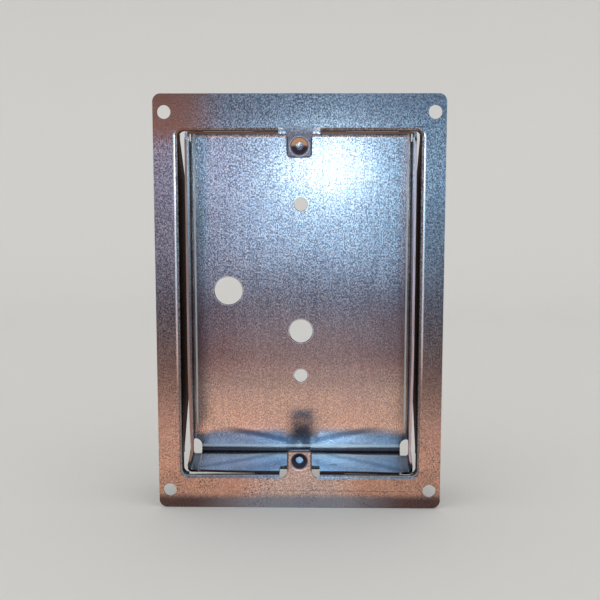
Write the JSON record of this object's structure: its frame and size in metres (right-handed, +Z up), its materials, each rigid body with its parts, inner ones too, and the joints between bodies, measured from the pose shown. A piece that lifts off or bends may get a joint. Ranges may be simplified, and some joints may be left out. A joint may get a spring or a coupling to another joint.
{
  "type": "speaker back box",
  "caption": "Folded galvanised steel back box with a flat wall flange, turned lip, tapped screw lugs and holed back plate.",
  "frame": {"origin": "middle of the four fixing holes, on the rear face of the flange", "axes": "+Z up as fixed in a wall, the open front faces -Y, the box runs into the wall along +Y"},
  "size_m": [0.125, 0.036, 0.182],
  "materials": {
    "frame_sheet": "galvanised with a fine spangle",
    "pan_sheet": "galvanised with a fine spangle"
  },
  "bodies": {
    "root": {"front_frame": "frame_sheet", "back_pan": "pan_sheet"}
  },
  "joints": []
}
